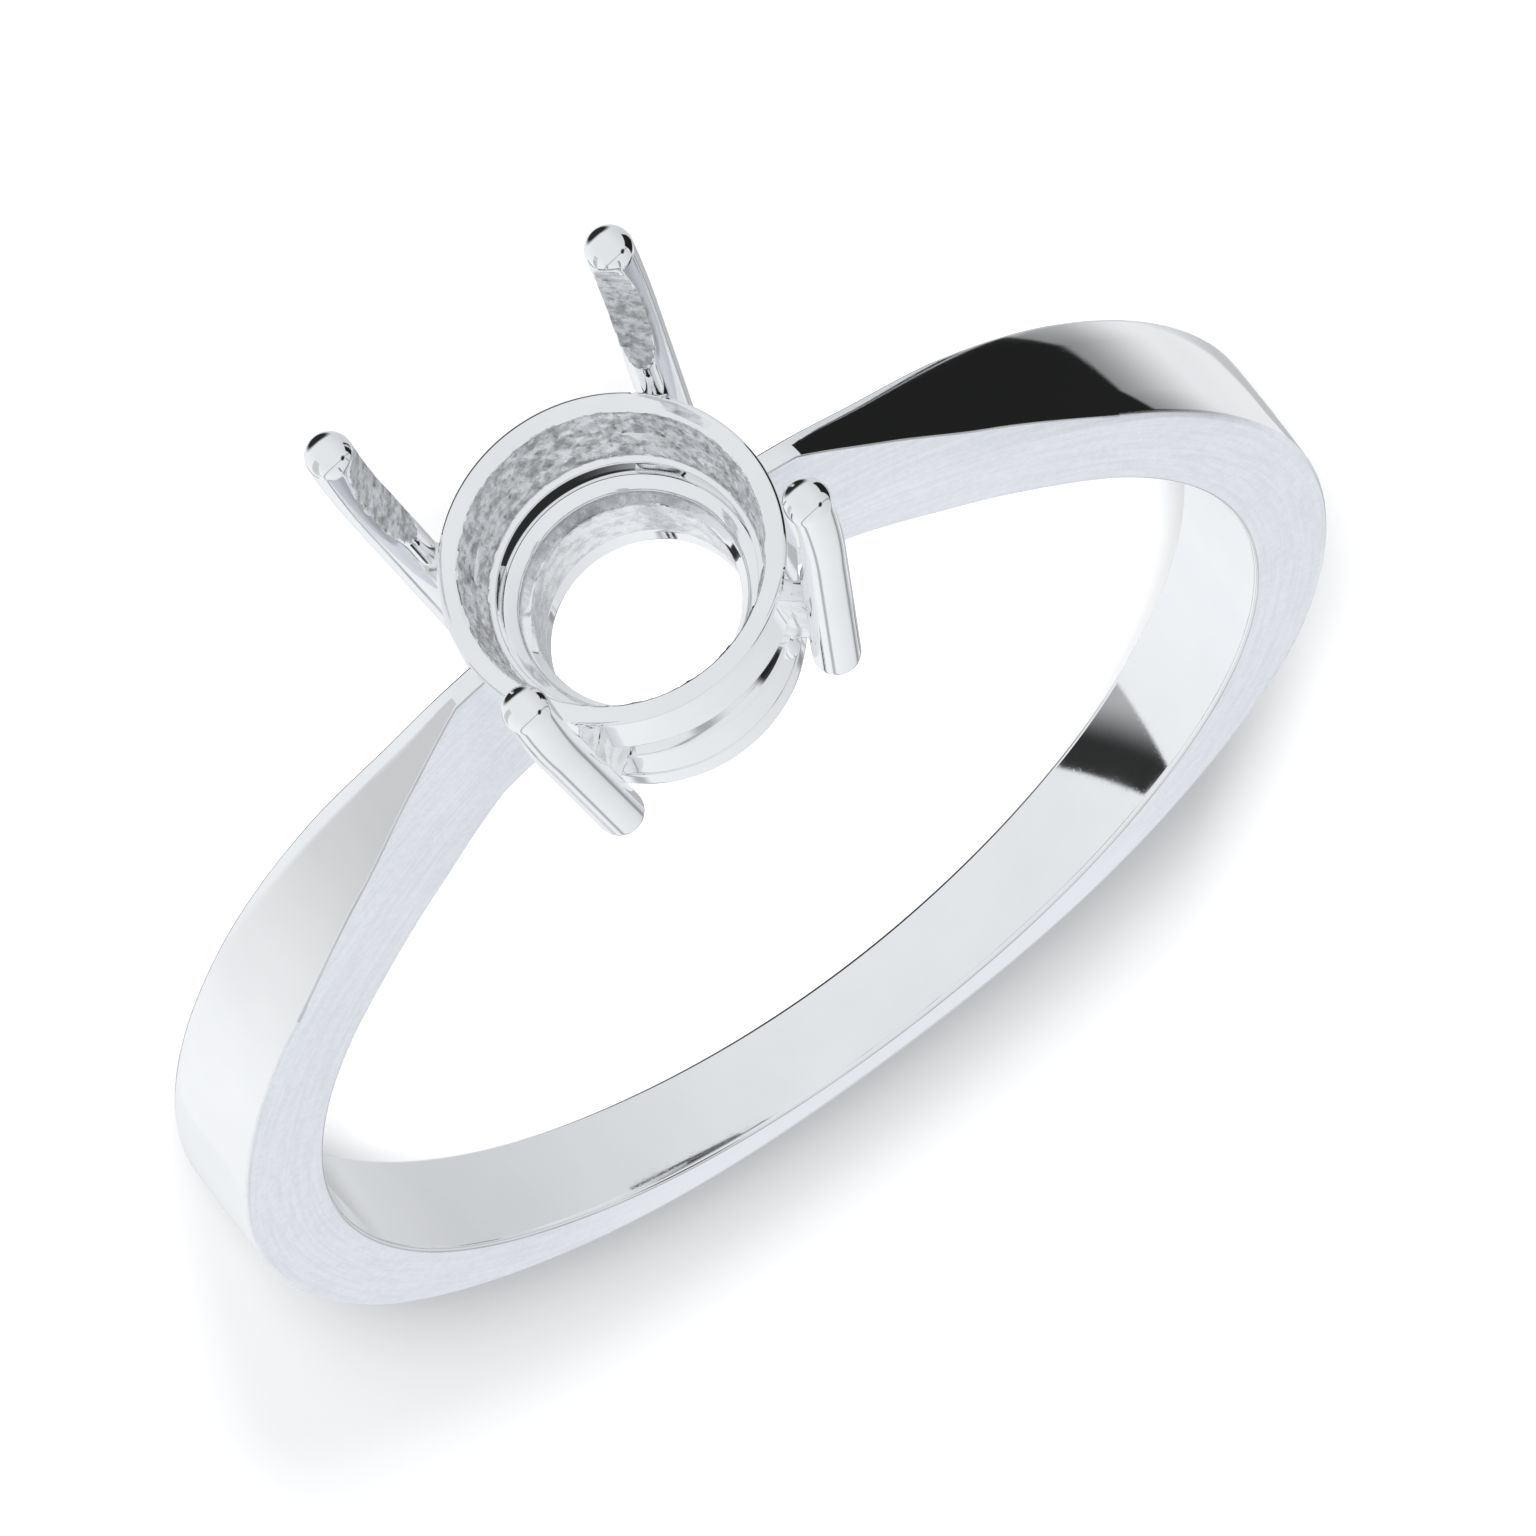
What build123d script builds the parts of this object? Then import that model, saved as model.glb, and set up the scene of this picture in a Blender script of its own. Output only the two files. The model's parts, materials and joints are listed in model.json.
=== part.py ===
from build123d import *
import math
import os

# A solitaire ring without its stone: a cast shank whose two shoulders rise to a soldered four-prong head.
# The ring is modelled standing, with X across it, Y along the finger and Z towards the head, and the
# origin at the centre of the finger hole. At the end it is laid on its side, as it rests on a table.
# All sizes are in millimetres, and angles in degrees are counted from the bottom of the shank.

# Finger hole: round, with a flat top where the underside of the head crosses it
finger_diameter = 17.3
flat_height = 8.05

# Shank: radial thickness and width along the finger at the bottom, at the sides and where it meets
# the head. There its flanks slope in to a narrow crest, over the outer part of its depth.
bottom_thickness = 0.8
side_thickness = 1.43
shoulder_depth = 2.74
bottom_width = 1.48
side_width = 2.05
shoulder_width = 0.87
shoulder_crest = 0.36
shoulder_slope = 1.4
edge_chamfer = 0.06

# Head: a flanged foot, a lower ring on it, a slot, and the upper ring that the stone sits over
foot_radius = 2.34
foot_thickness = 0.48
lower_radius = 2.42
lower_height = 1.43
foot_bevel = 0.22
lower_bevel = 0.43
culet_radius = 1.6
slot_height = 0.34
upper_radius = 2.68
upper_height = 1.34
upper_bevel = 0.33
upper_wall = 0.32
rim_chamfer = 0.07

# Prongs: four round wires outside the rings, leaning out and then straightening towards their tips
prong_diameter = 0.76
prong_count = 4
prong_foot_radius = 2.86
prong_foot_drop = 0.3
prong_bend_radius = 3.5
prong_tip_radius = 3.7
prong_bend_height = 1.26
prong_height = 3.76
tip_round = 0.24
foot_round = 0.1
solder_width = 0.5
solder_height = 1.9

# Worked out from the sizes above
finger_radius = finger_diameter / 2
core_radius = flat_height - bottom_thickness / 2
prong_radius = prong_diameter / 2
foot_top = flat_height + foot_thickness
lower_top = foot_top + lower_height
upper_bottom = lower_top + slot_height
upper_top = upper_bottom + upper_height
crest_radius = (culet_radius + lower_radius) / 2
bend_z = upper_top + prong_bend_height
tip_z = upper_top + prong_height
join_angle = 180 - math.degrees(math.asin(lower_radius / finger_radius))
end_angle = 180 - math.degrees(math.asin((culet_radius + crest_radius) / 2 / flat_height))
bottom_radius = finger_radius + bottom_thickness

# Cross-sections of the shank from the bottom to the head. "at" is a share of the angle to the head,
# "grow" and "spread" lead thickness and width from their bottom to their side values, and "rise" and
# "pinch" lead them on to the values at the head. "pinch" also turns the chamfers into the sloping flanks.
SECTION_COLUMNS = ("at", "grow", "rise", "spread", "pinch")
SECTION_ROWS = (
    (0.000, 0.00, 0.00, 0.00, 0.00),
    (0.215, 0.40, 0.00, 0.30, 0.00),
    (0.430, 0.84, 0.00, 0.85, 0.00),
    (0.640, 1.00, 0.00, 1.00, 0.00),
    (0.790, 1.00, 0.06, 1.00, 0.04),
    (0.890, 1.00, 0.29, 1.00, 0.32),
    (0.952, 1.00, 0.60, 1.00, 0.70),
    (1.000, 1.00, 1.00, 1.00, 1.00),
)


def shank_section(angle, thickness, width, slope, inset):
    """The cross-section in the radial plane at an angle, from inside the finger hole to the outer face.

    The flanks leave their full width at "slope" below the outer face and come in by "inset"."""
    turn = math.radians(angle)
    outward = Vector(math.sin(turn), 0, -math.cos(turn))
    along_finger = Vector(0, 1, 0)
    plane = Plane(origin=(0, 0, 0), x_dir=outward, z_dir=outward.cross(along_finger))
    outer = finger_radius + thickness
    half = width / 2
    corners = [
        (core_radius, -half),
        (outer - slope, -half),
        (outer, inset - half),
        (outer, half - inset),
        (outer - slope, half),
        (core_radius, half),
    ]
    return plane * make_face(Polyline(*corners, close=True))


def finger_hole():
    """The space of the finger: a cylinder along Y, cut flat below the head."""
    reach = 2 * side_width + 2 * upper_radius
    outline = Circle(finger_radius) & Pos(0, flat_height - finger_diameter) * Rectangle(
        finger_diameter * 2, finger_diameter * 2
    )
    return extrude(Plane.XZ * outline, reach / 2, both=True)


def make_shank():
    """The shank lofted from one shoulder round the bottom to the other, then bored for the finger."""
    crest_inset = (shoulder_width - shoulder_crest) / 2
    stations = []
    for row in SECTION_ROWS:
        section = dict(zip(SECTION_COLUMNS, row))
        thickness = bottom_thickness + (side_thickness - bottom_thickness) * section["grow"]
        thickness += (shoulder_depth - side_thickness) * section["rise"]
        width = bottom_width + (side_width - bottom_width) * section["spread"]
        width += (shoulder_width - side_width) * section["pinch"]
        slope = edge_chamfer + (shoulder_slope - edge_chamfer) * section["pinch"]
        inset = edge_chamfer + (crest_inset - edge_chamfer) * section["pinch"]
        stations.append((section["at"] * join_angle, thickness, width, slope, inset))
    stations.append((end_angle, shoulder_depth, shoulder_width, shoulder_slope, crest_inset))
    mirrored = [(-angle, *sizes) for angle, *sizes in reversed(stations[1:])]
    sections = [shank_section(*station) for station in mirrored + stations]
    return loft(sections) - finger_hole()


def turned(outline):
    """A closed outline of (radius, height) pairs turned round the axis of the head."""
    return revolve(make_face(Plane.XZ * Polyline(*outline, close=True)), Axis.Z)


def make_rings():
    """The foot, the lower ring with its crest and the upper ring with its funnel, each open inside."""
    foot = turned([
        (culet_radius, flat_height),
        (foot_radius, flat_height),
        (foot_radius, foot_top),
        (culet_radius, foot_top),
    ])
    lower = turned([
        (culet_radius, foot_top),
        (foot_radius - rim_chamfer, foot_top),
        (lower_radius, foot_top + foot_bevel),
        (lower_radius, lower_top - lower_bevel),
        (crest_radius, lower_top),
        (culet_radius, lower_top - lower_bevel),
    ])
    upper = turned([
        (crest_radius, upper_bottom),
        (lower_radius, upper_bottom),
        (upper_radius, upper_bottom + upper_bevel),
        (upper_radius, upper_top - rim_chamfer),
        (upper_radius - rim_chamfer, upper_top),
        (upper_radius - upper_wall, upper_top),
    ])
    return [foot, lower, upper]


def make_prong():
    """One prong along +X of the head: a round wire with a rounded tip and foot, and its solder joint."""
    foot_point = Vector(prong_foot_radius, 0, foot_top - prong_foot_drop)
    bend_point = Vector(prong_bend_radius, 0, bend_z)
    tip_point = Vector(prong_tip_radius, 0, tip_z)
    lean = (bend_point - foot_point).normalized()
    path = Line(foot_point, bend_point) + TangentArc(bend_point, tip_point, tangent=lean)
    wire = sweep(Plane(foot_point, z_dir=lean) * Circle(prong_radius), path)
    ends = wire.edges().filter_by(GeomType.CIRCLE).sort_by(Axis.Z)
    wire = fillet(ends[-1], tip_round)
    ends = wire.edges().filter_by(GeomType.CIRCLE).sort_by(Axis.Z)
    wire = fillet(ends[0], foot_round)
    inside = (crest_radius + lower_radius) / 2
    outside = (prong_foot_radius + prong_bend_radius) / 2
    slot_middle = (lower_top + upper_bottom) / 2
    joint = Box(outside - inside, solder_width, solder_height)
    return [wire, Pos((inside + outside) / 2, 0, slot_middle) * joint]


def make_standing_ring():
    """The whole ring as one soldered solid, standing with its head up."""
    pieces = make_rings()
    for index in range(prong_count):
        turn = 360 / prong_count * (index + 0.5)
        pieces += [Rot(Z=turn) * piece for piece in make_prong()]
    return make_shank() + pieces


def resting_tilt():
    """The angle that lays the ring on two prong tips and the lower edge of the bottom of the shank."""
    tip_side = prong_tip_radius * math.sin(math.pi / prong_count) + prong_radius - tip_round
    rise = tip_z - tip_round + bottom_radius - edge_chamfer
    spread = tip_side - bottom_width / 2
    return math.degrees(math.asin(tip_round / math.hypot(rise, spread)) + math.atan2(spread, rise))


def lay_down(standing):
    """The ring on its side, head towards +Y, with the origin under the middle of its box."""
    lying = Rot(X=resting_tilt() - 90) * standing
    box = lying.bounding_box()
    return Pos(-box.center().X, -box.center().Y, -box.min.Z) * lying


ring_mount = lay_down(make_standing_ring())
ring_mount.label = "ring_mount"

os.makedirs("parts", exist_ok=True)
export_step(ring_mount, "parts/ring_mount.step")
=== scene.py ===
"""A solitaire ring setting without its stone, in polished white metal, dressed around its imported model.

The shapes are made standing, in millimetres, with X across the ring, Y along the finger and Z towards the
head, and the origin at the centre of the finger hole. Each finished piece is then laid on the table with the
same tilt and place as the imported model, in metres.
"""

import json
import logging
import math
from dataclasses import dataclass, field
from enum import Enum
from typing import Any, Callable, Sequence

import bmesh
import bpy
from mathutils import Euler, Matrix, Vector, noise


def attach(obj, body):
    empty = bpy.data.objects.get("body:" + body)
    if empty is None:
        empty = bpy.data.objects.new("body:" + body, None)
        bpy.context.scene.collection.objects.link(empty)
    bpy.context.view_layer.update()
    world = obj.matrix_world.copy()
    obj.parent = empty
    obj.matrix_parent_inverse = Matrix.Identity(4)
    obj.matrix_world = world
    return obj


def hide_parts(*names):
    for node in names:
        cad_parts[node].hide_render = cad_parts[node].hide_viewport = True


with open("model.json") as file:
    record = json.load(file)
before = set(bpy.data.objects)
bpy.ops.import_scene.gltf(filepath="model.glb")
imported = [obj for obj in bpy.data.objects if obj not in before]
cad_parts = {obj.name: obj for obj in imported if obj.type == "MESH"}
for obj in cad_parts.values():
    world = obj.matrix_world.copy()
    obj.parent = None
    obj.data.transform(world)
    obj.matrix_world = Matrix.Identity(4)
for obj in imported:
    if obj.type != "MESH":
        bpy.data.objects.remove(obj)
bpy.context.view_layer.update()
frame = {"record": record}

NODE = "ring_mount"
BODY = "root"
RUN_MAP = "run"
MILLIMETRE = 0.001
# The largest cosine that an arccosine still takes after rounding.
NEARLY_ONE = 0.99999
Colour = tuple[float, float, float]
Span = tuple[float, float]
log = logging.getLogger("ring")


# Shader maths


class Wire:
    """A shader socket that takes part in arithmetic, each operation adding its own Math node."""

    def __init__(self, graph: "Graph", socket: bpy.types.NodeSocket) -> None:
        """Keeps an output and the graph that new nodes go into."""
        self.graph, self.socket = graph, socket

    def __add__(self, other: "Wire | float") -> "Wire":
        """The sum."""
        return self.graph.maths("ADD", self, other)

    def __sub__(self, other: "Wire | float") -> "Wire":
        """The difference."""
        return self.graph.maths("SUBTRACT", self, other)

    def __rsub__(self, other: float) -> "Wire":
        """A number less this wire."""
        return self.graph.maths("SUBTRACT", other, self)

    def __mul__(self, other: "Wire | float") -> "Wire":
        """The product."""
        return self.graph.maths("MULTIPLY", self, other)

    __radd__ = __add__
    __rmul__ = __mul__

    def over(self, low: float, high: float) -> "Wire":
        """Zero at low and beyond, one at high and beyond, and a soft step between; low may be the larger."""
        sockets = {0: self, 1: low, 2: high, 3: 0.0, 4: 1.0}
        return self.graph.wire("ShaderNodeMapRange", sockets, interpolation_type="SMOOTHSTEP")


class Graph:
    """The nodes of one material or of the world."""

    def __init__(self, tree: bpy.types.NodeTree) -> None:
        """Takes over a node tree and empties it."""
        self.tree = tree
        tree.nodes.clear()

    @classmethod
    def of_material(cls, name: str) -> tuple["Graph", bpy.types.Material]:
        """Starts a material.

        Args:
            name: its name.

        Returns:
            Its nodes, emptied, and the material.
        """
        new = bpy.data.materials.new(name)
        new.use_nodes = True
        return cls(new.node_tree), new

    def node(self, kind: str, sockets: dict[Any, Any] | None = None, **settings: Any) -> bpy.types.Node:
        """Adds any node.

        Args:
            kind: the node's type.
            sockets: what its inputs hold, by name or number: wires or values.
            settings: its settings, such as a Math node's operation, which are set first.

        Returns:
            The new node.
        """
        new = self.tree.nodes.new(kind)
        for name, value in settings.items():
            setattr(new, name, value)
        for name, value in (sockets or {}).items():
            if isinstance(value, Wire):
                self.tree.links.new(value.socket, new.inputs[name])
            else:
                new.inputs[name].default_value = value
        return new

    def wire(
        self, kind: str, sockets: dict[Any, Any] | None = None, output: int | str = 0, **settings: Any
    ) -> Wire:
        """Adds a node and hands back one of its outputs."""
        return Wire(self, self.node(kind, sockets, **settings).outputs[output])

    def maths(self, operation: str, *terms: Wire | float) -> Wire:
        """Adds a Math node on wires or numbers."""
        return self.wire("ShaderNodeMath", dict(enumerate(terms)), operation=operation)

    def vectors(self, operation: str, first: Wire, second: Sequence[float], output: str = "Vector") -> Wire:
        """Adds a Vector Math node on a wire and three numbers."""
        return self.wire("ShaderNodeVectorMath", {0: first, 1: second}, output, operation=operation)

    def parts(self, vector: Wire) -> list[Wire]:
        """The X, Y and Z of a vector."""
        return [Wire(self, output) for output in self.node("ShaderNodeSeparateXYZ", {0: vector}).outputs]

    def blend(self, share: Wire, low: Colour, high: Colour) -> Wire:
        """Mixes two colours, by how much of the second is wanted."""
        return self.wire("ShaderNodeMix", {0: share, 6: (*low, 1.0), 7: (*high, 1.0)}, 2, data_type="RGBA")

    def place(self, stretch: Sequence[float], turn: Sequence[float]) -> Wire:
        """Coordinates on the piece, in millimetres.

        Args:
            stretch: how much denser a pattern is along X, Y and Z.
            turn: how the pattern is then turned, in radians.

        Returns:
            The coordinates.
        """
        on_piece = self.wire("ShaderNodeTexCoord", output="Object")
        sockets = {"Vector": on_piece, "Rotation": turn, "Scale": [share / MILLIMETRE for share in stretch]}
        return self.wire("ShaderNodeMapping", sockets)

    def surface_place(self, stretch: Sequence[float] = (1.0, 1.0)) -> Wire:
        """Coordinates along and across a worked surface, in millimetres, denser by the stretch."""
        return self.vectors("MULTIPLY", self.wire("ShaderNodeUVMap", uv_map=RUN_MAP), (*stretch, 1.0))

    def principled(self, sockets: dict[str, Any]) -> None:
        """Ends the material in a Principled shader."""
        shader = self.wire("ShaderNodeBsdfPrincipled", sockets)
        self.node("ShaderNodeOutputMaterial", {"Surface": shader})


# Finishes


class Pattern(Enum):
    """What a layer of a finish is made of, by its node."""

    CLOUDS = "ShaderNodeTexNoise"
    PITS = "ShaderNodeTexVoronoi"


@dataclass(frozen=True)
class Layer:
    """One layer of a finish; a pattern that is eased in more than one way is a layer for each.

    Attributes:
        name: what it is.
        scale: clouds or pits in each millimetre.
        detail: octaves of the clouds.
        roughness: how strong the finer octaves are.
        span: what gives 0 and what gives 1, with a soft step between; without it the layer isn't eased.
        stretch: how much denser it is along X, Y and Z or, as two numbers, along and across the surface.
        turn: how it is turned, in radians.
        pattern: what it is made of.
        dulls: how much it dulls the metal.
        roughens: how much it roughens it.
        raises: how far it raises the surface, in millimetres.
    """

    name: str
    scale: float
    detail: float = 2.0
    roughness: float = 0.5
    span: Span | None = None
    stretch: tuple[float, ...] = (1.0, 1.0, 1.0)
    turn: tuple[float, float, float] = (0.0, 0.0, 0.0)
    pattern: Pattern = Pattern.CLOUDS
    dulls: float = 0.0
    roughens: float = 0.0
    raises: float = 0.0

    def on(self, graph: Graph) -> Wire:
        """Lays the layer on the piece.

        Args:
            graph: the material's nodes.

        Returns:
            How strong the layer is, about 0 to 1.
        """
        worked = len(self.stretch) == 2
        place = graph.surface_place(self.stretch) if worked else graph.place(self.stretch, self.turn)
        sockets = {"Vector": place, "Scale": self.scale, "Detail": self.detail, "Roughness": self.roughness}
        layer = graph.wire(self.pattern.value, sockets, label=self.name)
        return layer.over(*self.span) if self.span else layer


@dataclass(frozen=True)
class Finish:
    """A finish of the ring's metal: two colours, two degrees of roughness and the layers that part them.

    Attributes:
        name: the material's name.
        tint: the colour of the metal where it is cleanest.
        dull: the colour where it is dullest.
        smooth: the roughness where no layer roughens it.
        rough: the roughness where the layers are strongest.
        layers: what dulls, roughens and raises it.
        relief: how much of their height the layers keep.
        worn: the roughness where the finish is worn away.
    """

    name: str
    tint: Colour
    dull: Colour
    smooth: float
    rough: float
    layers: tuple[Layer, ...]
    relief: float = 1.0
    worn: float = 0.0

    def kept(self, graph: Graph) -> Wire | float:
        """How much of the finish isn't worn away: all of it, unless a finish says otherwise."""
        return 1.0

    def material(self) -> bpy.types.Material:
        """Makes the material, or hands back the one made before.

        Returns:
            The material.
        """
        ready = bpy.data.materials.get(self.name)
        if ready:
            return ready
        graph, new = Graph.of_material(self.name)
        laid = [(layer.on(graph), layer) for layer in self.layers]
        kept = self.kept(graph)
        dullness = sum(wire * layer.dulls for wire, layer in laid if layer.dulls) * kept
        wear = sum(wire * layer.roughens for wire, layer in laid if layer.roughens)
        height = sum(wire * layer.raises for wire, layer in laid if layer.raises) * kept
        roughness = (wear * (self.rough - self.smooth) + (self.smooth - self.worn)) * kept + self.worn
        bump = {"Height": height, "Distance": self.relief * MILLIMETRE, "Strength": 1.0}
        graph.principled({
            "Base Color": graph.blend(dullness, self.tint, self.dull),
            "Metallic": 1.0,
            "Roughness": roughness,
            "Normal": graph.wire("ShaderNodeBump", bump),
        })
        return new


@dataclass(frozen=True)
class Polish(Finish):
    """A mirror polish with the soft ripple of the buffing wheel, faint hairlines and a few tiny pits."""

    name: str = "polished_white_metal"
    tint: Colour = (0.955, 0.958, 0.965)
    dull: Colour = (0.90, 0.905, 0.915)
    smooth: float = 0.035
    rough: float = 0.11
    layers: tuple[Layer, ...] = (
        Layer("smears", 0.55, 3.0, span=(0.35, 0.75), dulls=0.6, roughens=0.45),
        Layer(
            "hairlines", 1.4, 3.0, span=(0.58, 0.72), stretch=(0.6, 18.0, 18.0), turn=(0.3, 0.2, 0.5),
            roughens=0.21, raises=-0.000072,
        ),
        Layer(
            "cross_hairlines", 1.2, 3.0, span=(0.60, 0.74), stretch=(16.0, 0.7, 16.0), turn=(0.1, 0.5, 0.9),
            roughens=0.175, raises=-0.00006,
        ),
        Layer(
            "pits", 2.3, 0.0, span=(0.06, 0.02), pattern=Pattern.PITS, dulls=0.4, roughens=0.3,
            raises=-0.00012,
        ),
        Layer("ripple", 0.9, 1.0, raises=0.0009),
    )


@dataclass(frozen=True)
class Satin(Finish):
    """The flat sides of the shank: stoned flat, with a fine mottled grain and lines that run round the ring.

    Attributes:
        worn_mm: how far round the ring from its bottom the satin starts, and where it is whole.
    """

    name: str = "satin_white_metal"
    tint: Colour = (0.955, 0.97, 0.998)
    dull: Colour = (0.835, 0.85, 0.89)
    smooth: float = 0.258
    rough: float = 0.438
    layers: tuple[Layer, ...] = (
        Layer("mottle", 5.0, 4.0, 0.62, (0.30, 0.72), dulls=0.25, roughens=0.3),
        Layer("patches", 0.35, span=(0.30, 0.75), dulls=0.15, roughens=0.2),
        Layer("lines", 1.0, 3.0, stretch=(0.5, 22.0), roughens=0.4, raises=0.0014),
        Layer("line_tone", 1.0, 3.0, span=(0.35, 0.70), stretch=(0.5, 22.0), dulls=0.25),
        Layer("streaks", 1.0, span=(0.38, 0.66), stretch=(0.8, 9.0), dulls=0.35),
        Layer("grain", 13.0, raises=0.0022),
        Layer("grain_tone", 13.0, span=(0.35, 0.68), dulls=0.3),
    )
    worn: float = 0.078
    worn_mm: Span = (3.2, 6.5)

    def kept(self, graph: Graph) -> Wire:
        """The satin is worn to a polish at the bottom of the ring."""
        return graph.maths("ABSOLUTE", graph.parts(graph.surface_place())[0]).over(*self.worn_mm)


@dataclass(frozen=True)
class ShadedEdge(Finish):
    """The rounded edges of the shank, rougher than the faces that they part and coloured darker, which
    paints a line of shade along them.
    """

    name: str = "edge_painted_shade"
    # The darker tint and dull colours paint a line of shade along the edges; the higher roughness is their
    # own dullness.
    tint: Colour = (0.78, 0.79, 0.81)
    dull: Colour = (0.46, 0.465, 0.48)
    smooth: float = 0.10
    rough: float = 0.26
    layers: tuple[Layer, ...] = (Layer("clouds", 0.8, dulls=1.0, roughens=1.0, raises=0.0004),)


@dataclass(frozen=True)
class Cast(Finish):
    """Metal as it came from the mould: grey, grainy and pitted, where no wheel reached."""

    name: str = "cast_white_metal"
    tint: Colour = (0.84, 0.845, 0.855)
    dull: Colour = (0.30, 0.305, 0.315)
    smooth: float = 0.22
    rough: float = 0.50
    layers: tuple[Layer, ...] = (
        Layer("blotches", 4.6, 5.0, 0.70, raises=0.0078),
        Layer("blotch_tone", 4.6, 5.0, 0.70, (0.40, 0.64), dulls=0.7),
        Layer("blotch_wear", 4.6, 5.0, 0.70, (0.35, 0.65), roughens=0.5),
        Layer("grain", 11.0, 3.0, 0.6, raises=0.0042),
        Layer("grain_wear", 11.0, 3.0, 0.6, (0.30, 0.70), roughens=0.5),
        Layer("pits", 6.5, 0.0, span=(0.30, 0.08), pattern=Pattern.PITS, dulls=0.35, raises=-0.008),
    )


@dataclass(frozen=True)
class Filed(Cast):
    """Cast metal that was filed nearly clean, inside the opening below the stone."""

    name: str = "filed_white_metal"
    tint: Colour = (0.93, 0.935, 0.945)
    dull: Colour = (0.62, 0.625, 0.64)
    rough: float = 0.40
    relief: float = 0.25


@dataclass(frozen=True)
class Solder(Finish):
    """Solder at a joint: bright, soft-edged and a little lumpy, with pinholes."""

    name: str = "soldered_joint"
    tint: Colour = (0.95, 0.95, 0.955)
    dull: Colour = (0.74, 0.745, 0.755)
    smooth: float = 0.09
    rough: float = 0.30
    layers: tuple[Layer, ...] = (
        Layer("lumps", 2.8, 3.0, raises=0.006),
        Layer("lump_tone", 2.8, 3.0, span=(0.42, 0.70), dulls=0.6),
        Layer("lump_wear", 2.8, 3.0, span=(0.35, 0.70), roughens=1.0),
        Layer("pinholes", 4.2, 0.0, span=(0.14, 0.05), pattern=Pattern.PITS, dulls=0.4, raises=-0.003),
    )


@dataclass(frozen=True)
class TableTop:
    """The plain pale table that the ring lies on, matte and nearly even."""

    name: str = "pale_table"
    tint: Colour = (0.61, 0.61, 0.615)
    dull: Colour = (0.59, 0.59, 0.595)
    clouds: Layer = Layer("clouds", 0.02)
    roughness: float = 0.75
    specular: float = 0.15

    def material(self) -> bpy.types.Material:
        """Makes the material.

        Returns:
            The material.
        """
        graph, new = Graph.of_material(self.name)
        colour = graph.blend(self.clouds.on(graph), self.tint, self.dull)
        sockets = {"Base Color": colour, "Roughness": self.roughness, "Specular IOR Level": self.specular}
        graph.principled(sockets)
        return new


class Surface(Enum):
    """The finishes that a face of the ring can have."""

    POLISHED = Polish()
    SATIN = Satin()
    EDGE = ShadedEdge()
    CAST = Cast()
    FILED = Filed()
    SOLDERED = Solder()


# Placing and meshing


def resting_place() -> tuple[Matrix, Vector]:
    """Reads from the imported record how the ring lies.

    Returns:
        What takes a standing point in millimetres to the table in metres, and the finger hole's centre.
    """
    hole = next(mount for mount in frame["record"]["mounts"] if mount["name"] == "finger_hole")
    centre = Vector(hole["pos_m"])
    lie = Matrix.Rotation(math.atan2(-hole["axis"][1], hole["axis"][2]) - math.pi / 2, 4, "X")
    return Matrix.Translation(centre) @ Matrix.Scale(MILLIMETRE, 4) @ lie, centre


TO_TABLE, HOLE_CENTRE = resting_place()


def in_scene(name: str, data: bpy.types.ID) -> bpy.types.Object:
    """Puts a mesh, a lamp or a camera into the scene.

    Args:
        name: the new object's name.
        data: what it holds.

    Returns:
        The object.
    """
    new = bpy.data.objects.new(name, data)
    bpy.context.scene.collection.objects.link(new)
    return new


def staged(name: str, size: Span, material: bpy.types.Material) -> bpy.types.Object:
    """Makes a flat sheet of the studio in the plane of X and Y.

    Args:
        name: its name.
        size: its width and height, in metres.
        material: its material.

    Returns:
        The sheet.
    """
    flat = bmesh.new()
    bmesh.ops.create_grid(flat, x_segments=1, y_segments=1, size=0.5)
    bmesh.ops.transform(flat, matrix=Matrix.Diagonal((*size, 1.0, 1.0)), verts=flat.verts[:])
    data = bpy.data.meshes.new(name)
    flat.to_mesh(data)
    flat.free()
    data.materials.append(material)
    sheet = in_scene(name, data)
    return sheet


class Track:
    """A size that runs smoothly through its stations, without overshooting any of them."""

    def __init__(self, places: Sequence[float], values: Sequence[float]) -> None:
        """Works out the slope at each station.

        Args:
            places: rising places of the stations.
            values: the size at each.
        """
        self.places, self.values = places, values
        spans = zip(places, places[1:], values, values[1:])
        steps = [(after - before) / (end - start) for start, end, before, after in spans]
        pairs = zip(steps, steps[1:])
        inner = [0.0 if low * high <= 0 else 2 * low * high / (low + high) for low, high in pairs]
        self.slopes = [0.0, *inner, steps[-1]]

    def at(self, place: float) -> float:
        """The size at a place.

        Args:
            place: where to read it; it is held to the stations' range.

        Returns:
            The size there.
        """
        place = min(max(place, self.places[0]), self.places[-1])
        i = max(k for k in range(len(self.places) - 1) if self.places[k] <= place)
        span = self.places[i + 1] - self.places[i]
        share = (place - self.places[i]) / span
        low, fall = self.values[i], self.values[i] - self.values[i + 1]
        start, end = self.slopes[i] * span, self.slopes[i + 1] * span
        bend = 2 * fall + start + end
        return ((bend * share - 3 * fall - 2 * start - end) * share + start) * share + low


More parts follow.
